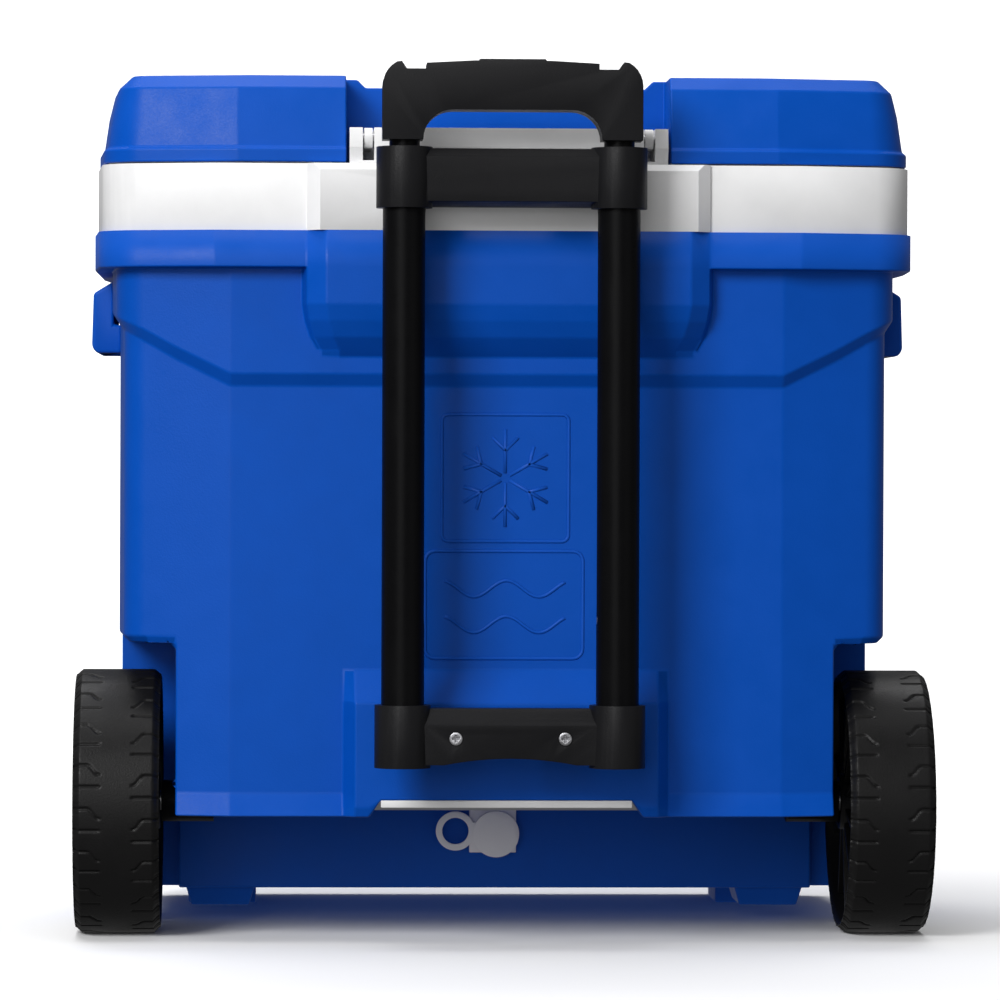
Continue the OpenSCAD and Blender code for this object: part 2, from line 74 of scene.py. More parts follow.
# ---- Studio ------------------------------------------------------------------
# A pale paper sweep: flat floor, a quarter-round cove and a wall, made as one
# sheet by carrying that profile sideways. Soft lights stand round it.
def new_piece(name, points, faces):
    """A smooth-shaded object at the origin with those points and faces."""
    mesh = bpy.data.meshes.new(name)
    mesh.from_pydata(points, [], faces)
    piece = bpy.data.objects.new(name, mesh)
    bpy.context.scene.collection.objects.link(piece)
    mesh.shade_smooth()
    return piece


def grid_mesh(name, points, closed_u=False, closed_v=False):
    """A mesh from an array points[u, v] of positions: neighbours in u and v are
    joined by quads, and a closed direction also joins its last row to its first."""
    nu, nv = points.shape[:2]
    u = np.arange(nu if closed_u else nu - 1)
    v = np.arange(nv if closed_v else nv - 1)
    uu, vv = np.meshgrid(u, v, indexing="ij")
    un, vn = (uu + 1) % nu, (vv + 1) % nv
    quads = np.stack([uu * nv + vv, un * nv + vv, un * nv + vn, uu * nv + vn], -1)
    return new_piece(name, points.reshape(-1, 3).tolist(), quads.reshape(-1, 4).tolist())


def face_outwards(piece, merge=0.0, close=False):
    """Merges points nearer to each other than merge, closes open loops with a face
    when close is set, and turns every face outwards."""
    form = bmesh.new()
    form.from_mesh(piece.data)
    if merge:
        bmesh.ops.remove_doubles(form, verts=form.verts, dist=merge)
    if close:
        bmesh.ops.holes_fill(form, edges=form.edges)
    bmesh.ops.recalc_face_normals(form, faces=form.faces)
    form.to_mesh(piece.data)
    form.free()
    piece.data.shade_smooth()


def paper():
    """Matt pale paper with a very faint fibre mottle."""
    material = bpy.data.materials.new("paper")
    material.use_nodes = True
    tree = material.node_tree
    shader = tree.nodes["Principled BSDF"]
    where = tree.nodes.new("ShaderNodeTexCoord")
    fibre = tree.nodes.new("ShaderNodeTexNoise")
    fibre.inputs["Scale"].default_value = 900.0
    tint = tree.nodes.new("ShaderNodeValToRGB")
    tint.color_ramp.elements[0].color = (0.93, 0.93, 0.94, 1)
    tint.color_ramp.elements[1].color = (0.97, 0.97, 0.975, 1)
    tree.links.new(where.outputs["Object"], fibre.inputs["Vector"])
    tree.links.new(fibre.outputs["Fac"], tint.inputs["Fac"])
    tree.links.new(tint.outputs["Color"], shader.inputs["Base Color"])
    shader.inputs["Roughness"].default_value = 0.9
    return material


floor_z = cad_box[0].z
turn = np.linspace(0, math.pi / 2, 17)
sweep_y = np.concatenate([[-6.0], 3.2 + np.sin(turn), [4.2]])
sweep_z = np.concatenate([[0.0], 1 - np.cos(turn), [6.0]]) + floor_z
sweep_x = np.array([-8.0, 8.0])
sweep = np.zeros((2, len(sweep_y), 3))
sweep[..., 0] = sweep_x[:, None]
sweep[..., 1] = sweep_y
sweep[..., 2] = sweep_z
studio = grid_mesh("studio_sweep", sweep)
studio.data.materials.append(paper())
studio.visible_diffuse = False
studio.visible_glossy = False


def soft_light(name, place, target, size, power):
    """A square area light of that size, turned from its place to its target."""
    lamp = bpy.data.objects.new(name, bpy.data.lights.new(name, "AREA"))
    bpy.context.scene.collection.objects.link(lamp)
    lamp.data.size = size
    lamp.data.energy = power
    lamp.location = place
    aim = np.array(target) - np.array(place)
    flat = math.hypot(aim[0], aim[1])
    lamp.rotation_euler = (math.atan2(flat, -aim[2]), 0, math.atan2(aim[1], aim[0]) - math.pi / 2)


middle = (0, 0, 0.25)
soft_light("key_light", (-1.5, -2.5, 1.75), middle, 1.2, 74)
soft_light("fill_light", (2.6, -2.6, 0.8), middle, 2.0, 4)
soft_light("front_light", (-0.9, -3.3, 0.8), middle, 1.8, 22)
soft_light("top_light", (-0.3, -0.3, 2.6), middle, 1.4, 26)
soft_light("wall_light", (0.0, 2.1, 3.5), (0, 4.2, 0.8), 3.0, 210)
world = bpy.data.worlds.new("studio_air")
world.use_nodes = True
world.node_tree.nodes["Background"].inputs["Color"].default_value = (1.0, 1.0, 1.0, 1)
world.node_tree.nodes["Background"].inputs["Strength"].default_value = 0.20
bpy.context.scene.world = world


# ---- Moulded plastics --------------------------------------------------------
# Every plastic piece is injection moulded: a satin skin with a fine spark-eroded
# grain, slow waves from shrinkage, and edges that handling has rubbed lighter.
def moulded_plastic(name, colour, rough=0.42, grain=0.12, grain_size=0.0011, rub=0.25, shine=0.3,
                    lift=0.03):
    """Colour drifts a little with large noise and turns lighter on convex edges;
    fine noise gives the grain in bump and roughness, large noise the slow waves."""
    material = bpy.data.materials.new(name)
    material.use_nodes = True
    tree = material.node_tree
    new, join = tree.nodes.new, tree.links.new
    shader = tree.nodes["Principled BSDF"]
    shader.inputs["Specular IOR Level"].default_value = shine
    where = new("ShaderNodeTexCoord")

    def noise(size, detail):
        node = new("ShaderNodeTexNoise")
        node.inputs["Scale"].default_value = 1 / size
        node.inputs["Detail"].default_value = detail
        join(where.outputs["Object"], node.inputs["Vector"])
        return node.outputs["Fac"]

    def ramp(value, low, high, out_low, out_high):
        node = new("ShaderNodeMapRange")
        node.inputs["From Min"].default_value = low
        node.inputs["From Max"].default_value = high
        node.inputs["To Min"].default_value = out_low
        node.inputs["To Max"].default_value = out_high
        join(value, node.inputs["Value"])
        return node.outputs["Result"]

    fine, slow, smear = noise(grain_size, 2), noise(0.09, 1), noise(0.022, 4)
    drift = new("ShaderNodeMix")
    drift.data_type = "RGBA"
    drift.inputs["A"].default_value = (*[c * 0.93 for c in colour], 1)
    drift.inputs["B"].default_value = (*[min(1, c * 1.06 + 0.001) for c in colour], 1)
    join(smear, drift.inputs["Factor"])
    surface = new("ShaderNodeNewGeometry")
    edge = ramp(surface.outputs["Pointiness"], 0.53, 0.62, 0.0, rub)
    worn = new("ShaderNodeMix")
    worn.data_type = "RGBA"
    worn.inputs["B"].default_value = (*[min(1, c * 1.25 + lift) for c in colour], 1)
    join(edge, worn.inputs["Factor"])
    join(drift.outputs["Result"], worn.inputs["A"])
    join(worn.outputs["Result"], shader.inputs["Base Color"])
    gloss = new("ShaderNodeMath")
    gloss.operation = "ADD"
    join(ramp(fine, 0.3, 0.7, -0.05, 0.05), gloss.inputs[0])
    join(ramp(smear, 0.3, 0.7, rough - 0.06, rough + 0.06), gloss.inputs[1])
    join(gloss.outputs["Value"], shader.inputs["Roughness"])
    waves = new("ShaderNodeBump")
    waves.inputs["Strength"].default_value = 0.10
    waves.inputs["Distance"].default_value = 0.004
    join(slow, waves.inputs["Height"])
    skin = new("ShaderNodeBump")
    skin.inputs["Strength"].default_value = grain
    skin.inputs["Distance"].default_value = 0.0006
    join(fine, skin.inputs["Height"])
    join(waves.outputs["Normal"], skin.inputs["Normal"])
    join(skin.outputs["Normal"], shader.inputs["Normal"])
    return material


def finish_node(name, material, radius=0.0, sharp=28):
    """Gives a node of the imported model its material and, by welding its triangles,
    dissolving the flat ones and bevelling what is sharper, its moulded edge radius."""
    node = nodes[name]
    node.data.materials.clear()
    node.data.materials.append(material)
    if radius:
        weld = node.modifiers.new("weld", "WELD")
        weld.merge_threshold = 1e-5
        flat = node.modifiers.new("flat", "DECIMATE")
        flat.decimate_type = "DISSOLVE"
        flat.angle_limit = math.radians(0.5)
        edge = node.modifiers.new("edge", "BEVEL")
        edge.width = radius
        edge.segments = 3
        edge.limit_method = "ANGLE"
        edge.angle_limit = math.radians(sharp)
        edge.harden_normals = True
        node.data.shade_smooth()
    return node


blue = moulded_plastic("blue_plastic", (0.0, 0.072, 0.44), rough=0.4, shine=0.11)
white = moulded_plastic("white_plastic", (0.78, 0.78, 0.785), rough=0.4, grain=0.06)
black = moulded_plastic("black_plastic", (0.007, 0.007, 0.008), rough=0.42, grain=0.15, shine=0.13,
                        lift=0.006)
tyre = moulded_plastic("wheel_plastic", (0.007, 0.0068, 0.007), rough=0.42, grain=0.2, shine=0.16,
                       lift=0.005)
# Part real colour, part painted light: the drain's light grey is painted much lighter than its own tone,
# standing in for light on a part that sits in shade under the overhang.
grey_painted_lit = moulded_plastic("grey_plastic", (0.80, 0.78, 0.84), rough=0.45, grain=0.1)
foam = moulded_plastic("foam", (0.80, 0.75, 0.55), rough=0.9, grain=1.0, grain_size=0.003)
seal = moulded_plastic("seal_rubber", (0.02, 0.02, 0.02), rough=0.7)
tube = moulded_plastic("black_tube", (0.003, 0.003, 0.0034), rough=0.3, grain=0.1, grain_size=0.0004,
                       shine=0.05, lift=0.0)
steel = moulded_plastic("steel", (0.42, 0.42, 0.44), rough=0.36, grain=0.04, grain_size=0.0005)
steel.node_tree.nodes["Principled BSDF"].inputs["Metallic"].default_value = 1.0


# ---- Body shell --------------------------------------------------------------
# The blue outer shell is one deep moulding: a rim, a shoulder that ends in a
# slanted crease, a housing behind the handle, a pad under its lower end, and a
# base cut away for the wheels and the drain. It is a stack of rings of the plan.
shell_low, shell_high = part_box("outer_shell")
MM = 0.001
RIM = 16 * MM                                  # how far the rim stands out
half_width = shell_high.x - RIM
back_y = shell_low.y + 24 * MM
depth = shell_high.y - RIM - back_y
CORNER_X, CORNER_Y, CORNER_R = half_width - 22.2 * MM, 30 * MM, 18 * MM
FACET_X = 170 * MM
STEP_X, STEP_EDGE = 77.2 * MM, 84 * MM         # raised middle of the back lip
PAD_X, PAD_FOOT = 93 * MM, 100 * MM            # pad under the lower bracket
HOUSE_X, HOUSE_SIDE, HOUSE_FOOT = 111.5 * MM, 123.5 * MM, 126 * MM
WELL_X, WELL_Y, WELL_Z = 203 * MM, 168 * MM, 184 * MM
LIP_Y, PANEL_Y, UNDER_Z = 12 * MM, 150 * MM, 96 * MM
WELL_ROUND = 4 * MM                            # radius where a well meets the walls
back_columns = np.array([0, STEP_X, STEP_EDGE, PAD_X, PAD_FOOT, HOUSE_X, HOUSE_SIDE, HOUSE_FOOT])
corner_turn = np.radians(np.linspace(-76.5, -5, 17))


def half_plan(grow, facet=FACET_X, columns=back_columns):
    """Right half of the plan, from the middle of the back round to the middle of
    the front: flat with its columns, facet, corner arc, side, and the same again;
    grow moves every point outwards. Returns x and the distance from the back."""
    arc_x = CORNER_X + (CORNER_R + grow) * np.cos(corner_turn)
    arc_y = CORNER_Y + (CORNER_R + grow) * np.sin(corner_turn)
    share = (WELL_X - FACET_X) / (CORNER_X + CORNER_R * np.cos(corner_turn[0]) - FACET_X)
    split_x = facet + share * (arc_x[0] - facet)
    split_y = -grow + share * (arc_y[0] + grow)
    side = half_width + grow
    x = [*columns, facet, split_x, *arc_x, side, side]
    y = [*np.full(len(columns), -grow), -grow, split_y, *arc_y, 100 * MM, WELL_Y]
    x += [side, *arc_x[::-1], facet, 0]
    y += [depth - 100 * MM, *(depth - arc_y[::-1]), depth + grow, depth + grow]
    return np.array(x), np.array(y)


def rings_to_mesh(name, rings):
    """Joins rings (x, y, z arrays of the right half) into a surface open at the first
    ring: each is mirrored to the left, doubles are merged, empty faces dropped and
    the last ring closed with a face."""
    rows = np.array([np.stack(np.broadcast_arrays(x, y + back_y, z), -1) for x, y, z in rings])
    left = rows[:, -2:0:-1] * np.array([-1, 1, 1])
    piece = grid_mesh(name, np.concatenate([rows, left], 1), closed_v=True)
    form = bmesh.new()
    form.from_mesh(piece.data)
    bmesh.ops.remove_doubles(form, verts=form.verts, dist=2e-5)
    empty = [face for face in form.faces if face.calc_area() < 1e-9]
    bmesh.ops.delete(form, geom=empty, context="FACES")
    foot = rows[-1, 0, 2]
    rim = [edge for edge in form.edges
           if edge.is_boundary and all(abs(v.co.z - foot) < 1e-6 for v in edge.verts)]
    bmesh.ops.contextual_create(form, geom=rim)
    bmesh.ops.recalc_face_normals(form, faces=form.faces)
    form.to_mesh(piece.data)
    form.free()
    piece.data.shade_smooth()
    return piece


def round_edges(piece, radius, sharp=8, segments=3):
    """Rounds every edge that turns by more than sharp degrees."""
    edge = piece.modifiers.new("edge", "BEVEL")
    edge.width = radius
    edge.segments = segments
    edge.limit_method = "ANGLE"
    edge.angle_limit = math.radians(sharp)
    edge.use_clamp_overlap = False
    edge.harden_normals = True


def shell_rings():
    """The rings from the rim down, round the corners of the wheel wells, over the lip,
    up behind it, along the underside of the overhang and down the deep back panel."""
    plan0 = half_plan(0)
    n = len(plan0[0])
    columns = len(back_columns)
    back = np.arange(n) < columns + 2
    arc0 = columns + 2
    full_house = np.arange(n) < columns - 2
    house_side = np.arange(n) == columns - 2
    pad = np.arange(n) < columns - 4
    centre = np.arange(n) < 2
    rings = []

    def upper(grow, z, house, facet=FACET_X, tuck=0.0):
        x, y = half_plan(grow, facet)
        x[columns - 3:columns] -= tuck
        y = np.where(full_house, np.minimum(house, y), y)
        y = np.where(house_side, np.minimum(house + 8 * MM, y), y)
        rings.append((x, y, z))

    house = -24 * MM
    crease = np.interp(plan0[0], np.array([174, 238, 240]) * MM, np.array([346, 382, 385]) * MM)
    upper(RIM, shell_high.z, house, FACET_X + 10 * MM)
    upper(RIM, 414.5 * MM, house, FACET_X + 10 * MM)
    upper(5 * MM, 414.5 * MM, house)
    upper(5 * MM, np.maximum(392 * MM, crease + 12 * MM), house)
    upper(5 * MM, np.maximum(382 * MM, crease + 10 * MM), house + 3 * MM, tuck=1.5 * MM)
    upper(5 * MM, np.maximum(372 * MM, crease + 8.5 * MM), house + 8 * MM, tuck=4.5 * MM)
    upper(5 * MM, np.maximum(364 * MM, crease + 7 * MM), -9 * MM, tuck=9 * MM)
    upper(5 * MM, np.maximum(360 * MM, crease + 6 * MM), -5 * MM, tuck=9 * MM)
    upper(5 * MM, crease + 3.6 * MM, 0)
    upper(0, crease - 4 * MM, 0)

    # The wheel wells: the corner's points move in to the well's inner walls.
    x, y = (a.copy() for a in plan0)
    wall = slice(arc0, arc0 + 17)
    x[wall], x[arc0 + 17], y[arc0 + 17] = WELL_X, WELL_X, WELL_Y
    y[wall] = [LIP_Y, *np.linspace(LIP_Y, PANEL_Y, 15), PANEL_Y]
    x[columns + 1] = WELL_X
    lip = back | (np.arange(n) == arc0)
    stay = (np.arange(n) > arc0) & (np.arange(n) < arc0 + 16)
    moved = np.hypot(x - plan0[0], y - plan0[1]) > 1e-6
    inner_x, inner_y = half_plan(-WELL_ROUND)
    rings.append((*plan0, WELL_Z + WELL_ROUND))
    rings.append((np.where(moved, inner_x, x), np.where(moved, inner_y, y), WELL_Z))
    rings.append((np.where(moved, x + WELL_ROUND, x), y, WELL_Z))
    rings.append((x, y, WELL_Z - WELL_ROUND))
    rings.append((x, y, 168 * MM))
    on_pad = np.where(pad, -14 * MM, y)
    rings.append((x, on_pad, 148 * MM))
    steps = np.array([92, 88, 84, 78]) * MM

    def flared(grow):
        flare_x, flare_y = half_plan(grow)
        return (np.where(back, np.minimum(flare_x, WELL_X), x),
                np.where(back, np.where(pad, -14 * MM, flare_y), y))

    def level(z):
        return np.where(stay, UNDER_Z, np.where(centre, max(z, 88.5 * MM), z))

    rings.append((x, on_pad, level(steps[0])))
    rings.append((*flared(1.8 * MM), level(steps[1])))
    rings.append((*flared(3.6 * MM), level(steps[2])))
    out_x, out_y = flared(6.3 * MM)
    rings.append((out_x, np.where(pad & ~centre, -12 * MM, out_y), level(steps[3])))
    behind = np.where(lip, LIP_Y, y)
    for z in [*steps[::-1], UNDER_Z]:
        rings.append((x, behind, np.where(lip | stay, level(z), steps[3])))
    panel = np.where(lip | stay, PANEL_Y, y)
    for z in [UNDER_Z, *steps]:
        rings.append((x, panel, np.where(lip | stay, z, steps[3])))
    rings.append((x, panel, 22 * MM))
    return rings


body = rings_to_mesh("body_shell", shell_rings())
round_edges(body, 1.2 * MM)
wall = body.modifiers.new("wall", "SOLIDIFY")
wall.thickness = 3 * MM
wall.offset = -1
body.data.materials.append(blue)
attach(body, "cooler_body")
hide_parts("outer_shell")


# ---- Base runners ------------------------------------------------------------
# Two low runners are moulded under the base behind the drain, with their lower
# edges drawn in; they are the same blue plastic as the shell.
def tapered_block(name, low, high, taper):
    """A closed block from corner low to corner high whose bottom face is drawn in
    by taper on every side: rings down from the top, closed by a face at each end."""
    corners = np.array([[0, 0], [1, 0], [1, 1], [0, 1]])
    levels = [(high[2], 0), (low[2], taper)]
    rings = np.zeros((len(levels), 4, 3))
    for i, (z, draw) in enumerate(levels):
        flat_low, flat_high = np.array(low[:2]) + draw, np.array(high[:2]) - draw
        rings[i, :, :2] = flat_low + corners * (flat_high - flat_low)
        rings[i, :, 2] = z
    piece = grid_mesh(name, rings, closed_v=True)
    face_outwards(piece, close=True)
    return piece


for side_name, sign in (("left", -1), ("right", 1)):
    ends = sorted((sign * 154 * MM, sign * 199 * MM))
    runner = tapered_block("runner_" + side_name, (ends[0], back_y + 156 * MM, shell_low.z),
                           (ends[1], back_y + 216 * MM, 24 * MM), 4 * MM)
    round_edges(runner, 1.5 * MM)
    runner.data.materials.append(blue)
    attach(runner, "cooler_body")


# ---- Marks on the back wall --------------------------------------------------
# Between the tubes stand two raised frames, one round a snowflake and one round two
# waves: round beads half sunk in the wall. Their places are given in millimetres.
def bead_path(name, runs, radius):
    """Tubes of six sides along each run of (x, z) points on the back face: at every
    point a ring in the plane square to the mean direction of its two neighbours."""
    verts, quads = [], []
    for run in runs:
        path = np.array(run, float) * MM
        closed = np.allclose(path[0], path[-1])
        path = path[:-1] if closed else path
        ahead = np.roll(path, -1, 0) - path
        behind = path - np.roll(path, 1, 0)
        if not closed:
            ahead[-1], behind[0] = behind[-1], ahead[0]
        ahead /= np.linalg.norm(ahead, axis=1, keepdims=True)
        behind /= np.linalg.norm(behind, axis=1, keepdims=True)
        mean = (ahead + behind) / np.linalg.norm(ahead + behind, axis=1, keepdims=True)
        widen = 1 / np.sqrt(np.clip((1 + (ahead * behind).sum(1)) / 2, 0.2, 1))
        side = np.stack([mean[:, 1], -mean[:, 0]], -1) * widen[:, None]
        turn = np.arange(6) * math.pi / 3
        first = sum(len(v) for v in verts)
        ring = np.zeros((len(path), 6, 3))
        ring[..., 0] = path[:, None, 0] + radius * np.cos(turn) * side[:, None, 0]
        ring[..., 2] = path[:, None, 1] + radius * np.cos(turn) * side[:, None, 1]
        ring[..., 1] = back_y + radius * 0.7 * np.sin(turn)
        verts.append(ring.reshape(-1, 3))
        count = len(path)
        for i in range(count if closed else count - 1):
            j = (i + 1) % count
            quads += [[first + i * 6 + k, first + i * 6 + (k + 1) % 6, first + j * 6 + (k + 1) % 6,
                       first + j * 6 + k] for k in range(6)]
        if not closed:
            quads += [[first + k for k in range(6)], [first + (count - 1) * 6 + k for k in range(6)]]
    piece = new_piece(name, np.concatenate(verts).tolist(), quads)
    face_outwards(piece)
    return piece


def soft_rectangle(x0, z0, x1, z1, radius):
    """A closed rectangle with rounded corners, as a run of points."""
    run = []
    for cx, cz, start in ((x1, z1, 0), (x0, z1, 90), (x0, z0, 180), (x1, z0, 270)):
        inner_x, inner_z = cx - math.copysign(radius, cx - x0 - 1), cz - math.copysign(radius, cz - z0 - 1)
        for step in range(5):
            angle = math.radians(start + 22.5 * step)
            run.append((inner_x + radius * math.cos(angle), inner_z + radius * math.sin(angle)))
    return run + run[:1]


marks = [soft_rectangle(-40, 247, 38, 325, 4), soft_rectangle(-50, 175, 47, 241, 6)]
flake = np.array([-1, 286])
for arm in range(6):
    angle = math.radians(60 * arm + 30)
    along = np.array([math.cos(angle), math.sin(angle)])
    across = np.array([-along[1], along[0]])
    marks.append([flake + along * 3, flake + along * 30])
    marks.append([flake + along * 25 + across * 8, flake + along * 17, flake + along * 25 - across * 8])
for height in (196, 218):
    marks.append([(x, height + 5 * math.sin((x + 50) * math.pi / 20)) for x in np.linspace(-38, 36, 38)])
relief = bead_path("back_marks", marks, 1.1 * MM)
relief.data.materials.append(blue)
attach(relief, "cooler_body")


# ---- Lid ---------------------------------------------------------------------
# The lid is one blue moulding with a raised lip round its foot, sloped panels above
# it, a shallow valley along the middle, a notch for the handle and four cup holders.
# It is a stack of rings of the plan, closed on top, with those hollows cut from it;
# a pan under it takes the white liner.
NOTCH_X, NOTCH_Y, VALLEY_X = 99.5 * MM, 44 * MM, 87 * MM
CUP_X, CUP_Y, CUP_R, CUP_Z = 165 * MM, 90 * MM, 38 * MM, 517 * MM
PAST, ABOVE_Z = 50 * MM, 560 * MM              # how far the cutting forms reach past the lid
lid_columns = np.array([0, 108, 108.01]) * MM


def solid_from_rings(name, rings):
    """Rings joined and mirrored as on the body, with the first ring closed as well."""
    piece = rings_to_mesh(name, rings)
    face_outwards(piece, close=True)
    return piece


def cup_form(name, x, y):
    """A closed round form the size of a cup holder, standing at (x, y): its (radius,
    height) profile, with a round at the foot and a flare at the mouth, is carried
    round the upright axis, and the end points on the axis close it."""
    profile = [(0, CUP_Z), (CUP_R - 2 * MM, CUP_Z), (CUP_R, CUP_Z + 2 * MM), (CUP_R, 530 * MM),
               (CUP_R + 1.5 * MM, 533.5 * MM), (CUP_R + 1.5 * MM, ABOVE_Z), (0, ABOVE_Z)]
    turn = np.linspace(0, 2 * math.pi, 96, endpoint=False)[:, None]
    radius, height = np.array(profile).T
    points = np.zeros((len(turn), len(radius), 3))
    points[..., 0] = x + radius * np.cos(turn)
    points[..., 1] = y + radius * np.sin(turn)
    points[..., 2] = height
    piece = grid_mesh(name, points, closed_u=True)
    face_outwards(piece, merge=1e-6)
    return piece


def cut_away(piece, cutters):
    """Subtracts the cutters from the piece and removes them."""
    for cutter in cutters:
        cut = piece.modifiers.new("cut", "BOOLEAN")
        cut.operation = "DIFFERENCE"
        cut.solver = "EXACT"
        cut.object = cutter
    bpy.context.view_layer.update()
    finished = piece.evaluated_get(bpy.context.evaluated_depsgraph_get())
    carved = bpy.data.meshes.new_from_object(finished)
    piece.modifiers.clear()
    piece.data = carved
    for cutter in cutters:
        bpy.data.objects.remove(cutter)
    form = bmesh.new()
    form.from_mesh(piece.data)
    bmesh.ops.remove_doubles(form, verts=form.verts, dist=2e-5)
    bmesh.ops.dissolve_degenerate(form, edges=form.edges, dist=1e-5)
    form.to_mesh(piece.data)
    form.free()
    piece.data.shade_smooth()


lid_rings = []
for grow, z, facet in ((13, 479, 166), (13, 487, 166), (10.5, 488.5, 166), (7.3, 510, 166),
                       (3.6, 525, 166), (-5, 533, 160)):
    plan_x, plan_y = half_plan(grow * MM, facet * MM, lid_columns)
    lid_rings.append((plan_x, plan_y, z * MM))
lid_piece = solid_from_rings("lid_form", lid_rings)
lid_piece.name = "lid_cover"

valley_rings = []
for x, z in ((VALLEY_X + 12 * MM, 540), (VALLEY_X + 6 * MM, 534), (VALLEY_X, 528)):
    near, far = back_y - PAST, back_y + depth + PAST
    valley_rings.append([(-x, near, z * MM), (x, near, z * MM), (x, far, z * MM), (-x, far, z * MM)])
valley_cut = grid_mesh("valley_cut", np.array(valley_rings), closed_v=True)
face_outwards(valley_cut, close=True)
notch_cut = tapered_block("notch_cut", (-NOTCH_X, back_y - PAST, 470 * MM),
                          (NOTCH_X, back_y + NOTCH_Y, ABOVE_Z), 0)
pan_rings = []
for z in (470 * MM, 482.1 * MM):
    plan_x, plan_y = half_plan(9.6 * MM, 166 * MM, lid_columns)
    by_notch = np.arange(len(plan_x)) < 2
    pan_rings.append((plan_x, np.where(by_notch, NOTCH_Y + 3.5 * MM, plan_y), z))
pan_cut = solid_from_rings("pan_cut", pan_rings)
cups = [cup_form(f"cup_cut_{sign}_{i}", sign * CUP_X, back_y + cup_y)
        for sign in (-1, 1) for i, cup_y in enumerate((CUP_Y, depth - CUP_Y))]
cut_away(lid_piece, [valley_cut, notch_cut, pan_cut, *cups])
round_edges(lid_piece, 1.1 * MM, sharp=9)
lid_piece.data.materials.clear()
lid_piece.data.materials.append(blue)
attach(lid_piece, "lid")
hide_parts("lid_shell")


# ---- Wheels ------------------------------------------------------------------
# Each wheel is one black moulding: a wide tread with short grooves in from both
# edges, a ribbed hollow towards the body, and a dished outer face with a cap.
wheel_low, wheel_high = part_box("wheel_left")
WHEEL_R = (wheel_high.z - wheel_low.z) / 2
WHEEL_Y, WHEEL_Z = (wheel_low.y + wheel_high.y) / 2, (wheel_low.z + wheel_high.z) / 2
WHEEL_X, TREAD = 213 * MM, 53 * MM             # inner edge of a wheel, and its width
PITCHES = 38                                   # grooves round each edge of the tread


def smooth_step(t):
    """0 below 0, 1 above 1, and 3t^2 - 2t^3 between."""
    t = np.clip(t, 0, 1)
    return t * t * (3 - 2 * t)


def tread_grooves(turn, width):
    """How deep the tread is cut at an angle and a distance from its inner edge. Each
    edge has PITCHES grooves a third of the width long; the tip of every second one
    bends aside, and a small notch stands between them on the edge itself."""
    pitch = 2 * math.pi * WHEEL_R / PITCHES
    cut = 0.0
    for edge, shift in ((0.0, 0.0), (TREAD, 0.5)):
        inward = np.abs(width - edge)
        cell = turn * PITCHES / (2 * math.pi) + shift
        bend = np.mod(np.floor(cell), 2) * 0.45 * smooth_step((inward - 9 * MM) / (7 * MM))
        across = (np.mod(cell, 1) - 0.5 - bend) * pitch
        groove = 1 - smooth_step((np.abs(across) - 0.25 * MM) / (0.75 * MM))
        length = 1 - smooth_step((inward - 16 * MM) / (1.5 * MM))
        beside = np.abs(np.mod(cell * 2, 2) - 1.0) * pitch / 2
        notch = 1 - smooth_step((beside - 3.2 * MM) / (1.2 * MM))
        notch_length = 1 - smooth_step((inward - 2.6 * MM) / (1.0 * MM))
        cut = cut + 1.5 * MM * groove * length + 0.7 * MM * notch * notch_length
    return cut


def wheel_surface(name, sign):
    """The closed wheel profile (radius, distance out from the inner edge) carried
    round the axle, with the grooves cut into its tread."""
    shoulder = [0, 0.4, 1.2, 2.4, 4]
    tread_w = np.concatenate([shoulder, np.linspace(4.5, 48.5, 45), [49, 50.6, 51.8, 52.6, 53]])
    tread_r = 82.5 - 3.2 * (2 - smooth_step(tread_w / 4.5) - smooth_step((53 - tread_w) / 4.5))
    tread = np.stack([tread_r, tread_w], -1)
    outer = np.array([(79.0, 53), (76, 53), (74.5, 52.2), (73, 49), (70.5, 42), (68, 39.4), (60, 39),
                      (46, 39.4), (30, 40.5), (26, 41.5), (23.5, 47.6), (22, 48), (15, 48),
                      (14.4, 47.5), (14.2, 41)])
    inner = np.array([(14.2, 41), (14.2, 0.5), (17, 0.5), (17.6, 1), (18.5, 31), (20, 32.5),
                      (73, 32.5), (75, 31), (75.6, 3), (76.4, 1), (78, 0)])
    profile = np.concatenate([tread, outer, inner]) * MM
    turn = np.linspace(0, 2 * math.pi, 720, endpoint=False)[:, None]
    radius = np.broadcast_to(profile[:, 0], (len(turn), len(profile))).copy()
    width = np.broadcast_to(profile[:, 1], radius.shape)
    on_tread = np.arange(len(profile)) < len(tread)
    radius -= tread_grooves(turn, width) * on_tread
    points = np.zeros((len(turn), len(profile), 3))
    points[..., 0] = sign * (WHEEL_X + width)
    points[..., 1] = WHEEL_Y + radius * np.cos(turn)
    points[..., 2] = WHEEL_Z + radius * np.sin(turn)
    piece = grid_mesh(name, points, closed_u=True, closed_v=True)
    face_outwards(piece, merge=1e-6)
    return piece


def wheel_ribs(name, sign):
    """Ten flat ribs between hub and tread, each a closed block turned round the axle."""
    block = np.array([[-1, 0, 0], [1, 0, 0], [1, 0, 1], [-1, 0, 1],
                      [-1, 1, 0], [1, 1, 0], [1, 1, 1], [-1, 1, 1]])
    faces = np.array([[0, 1, 2, 3], [7, 6, 5, 4], [0, 4, 5, 1], [1, 5, 6, 2], [2, 6, 7, 3], [3, 7, 4, 0]])
    deep, far = block[:, 1] > 0, block[:, 2] > 0
    across = block[:, 0] * 1.8 * MM
    along = np.where(far, 75.5, 17) * MM
    x = sign * (WHEEL_X + np.where(deep, 33, np.where(far, 5, 3)) * MM)
    verts, quads = [], []
    for i in range(10):
        angle = math.radians(36 * i + 18)
        y = WHEEL_Y + along * math.cos(angle) - across * math.sin(angle)
        z = WHEEL_Z + along * math.sin(angle) + across * math.cos(angle)
        verts.append(np.stack([x, y, z], -1))
        quads.append(faces + 8 * i)
    piece = new_piece(name, np.concatenate(verts).tolist(), np.concatenate(quads).tolist())
    face_outwards(piece)
    return piece


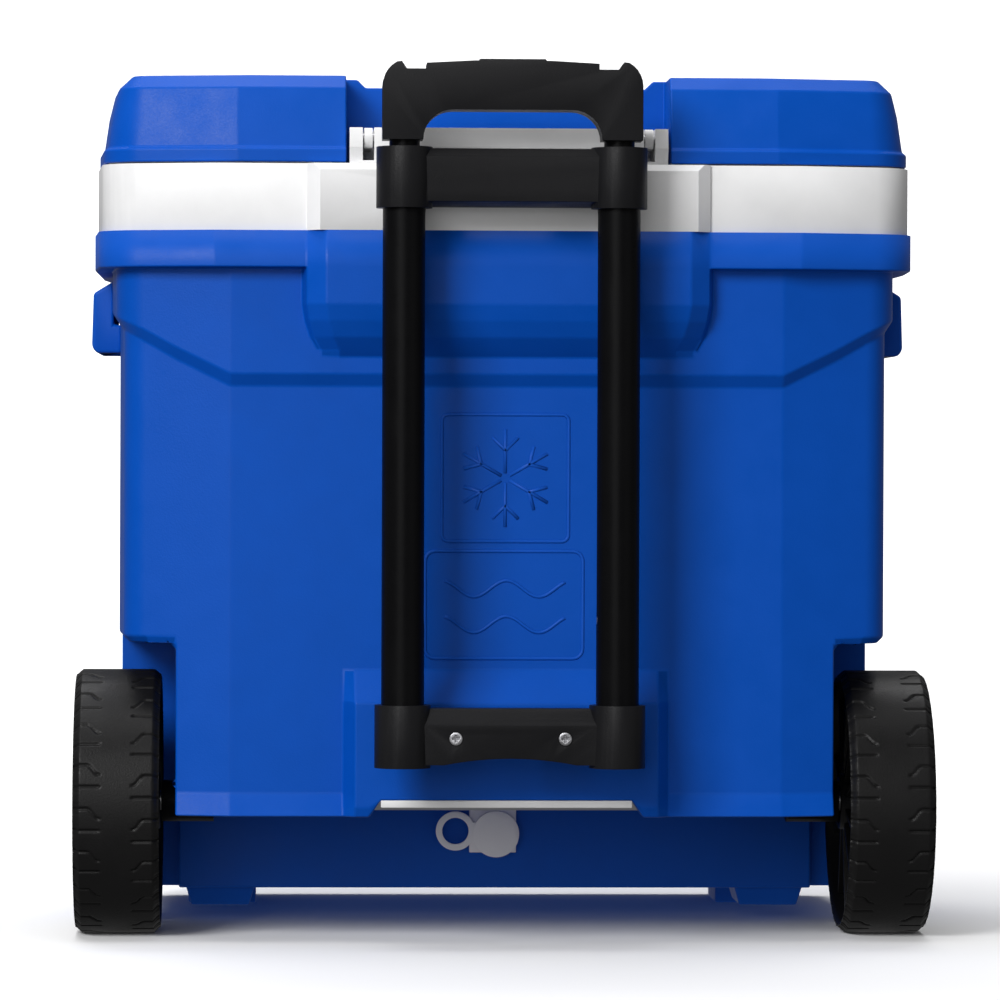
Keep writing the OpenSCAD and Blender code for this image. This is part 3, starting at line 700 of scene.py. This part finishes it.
for side_name, sign in (("left", -1), ("right", 1)):
    rolling = wheel_surface("wheel_rim_" + side_name, sign)
    rolling.data.materials.append(tyre)
    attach(rolling, f"wheel_{side_name}_body")
    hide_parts("wheel_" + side_name)
    ribs = wheel_ribs("wheel_ribs_" + side_name, sign)
    round_edges(ribs, 0.6 * MM)
    ribs.data.materials.append(tyre)
    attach(ribs, f"wheel_{side_name}_body")


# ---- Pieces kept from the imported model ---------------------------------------
# Grips, brackets, tubes, hinges, screws and the drain keep their exact form; each
# gets its plastic or metal and, where a mould would round them, softened edges.
for name, radius in {"side_handle_left": 0.002, "side_handle_right": 0.002,
                     "front_feet": 0.0015}.items():
    finish_node(name, blue, radius, 10)
for name, radius in {"inner_liner": 0.001, "base_trim_strip": 0.0005, "lid_liner": 0.001,
                     "lid_hinge_left": 0.0008, "lid_hinge_right": 0.0008,
                     "inner_tube_foot_left": 0, "inner_tube_foot_right": 0,
                     "rod_guide_left": 0, "rod_guide_right": 0}.items():
    finish_node(name, white, radius)
for name, radius in {"upper_bracket": 0.0012, "lower_bracket": 0.0012, "grip_rear": 0.002,
                     "grip_front": 0.002, "release_button": 0.0012, "tube_bush_left": 0,
                     "tube_bush_right": 0, "axle_bearing_left": 0.001, "axle_bearing_right": 0.001}.items():
    finish_node(name, black, radius)
for name in ("wheel_cap_left", "wheel_cap_right"):
    finish_node(name, tyre, 0.001)
for name in ("outer_tube_left", "outer_tube_right", "inner_tube_left", "inner_tube_right"):
    finish_node(name, tube)
finish_node("lower_bracket_screws", steel, 0.0005)
for name in ("upper_bracket_screws", "axle_rod", "axle_push_nuts",
             "hinge_pin_left", "hinge_pin_right", "lid_hinge_screws", "grip_screws", "button_springs",
             "push_rod_left", "push_rod_right", "lock_pin_left", "lock_pin_right"):
    finish_node(name, steel)
# The drain pieces take the grey painted lighter than its own colour, as painted light on them in the shade
# under the overhang.
for name in ("drain_fitting", "drain_nut", "drain_plug"):
    finish_node(name, grey_painted_lit, 0.0006)
finish_node("drain_gasket", seal)
for name in ("foam_insulation", "lid_foam"):
    finish_node(name, foam)
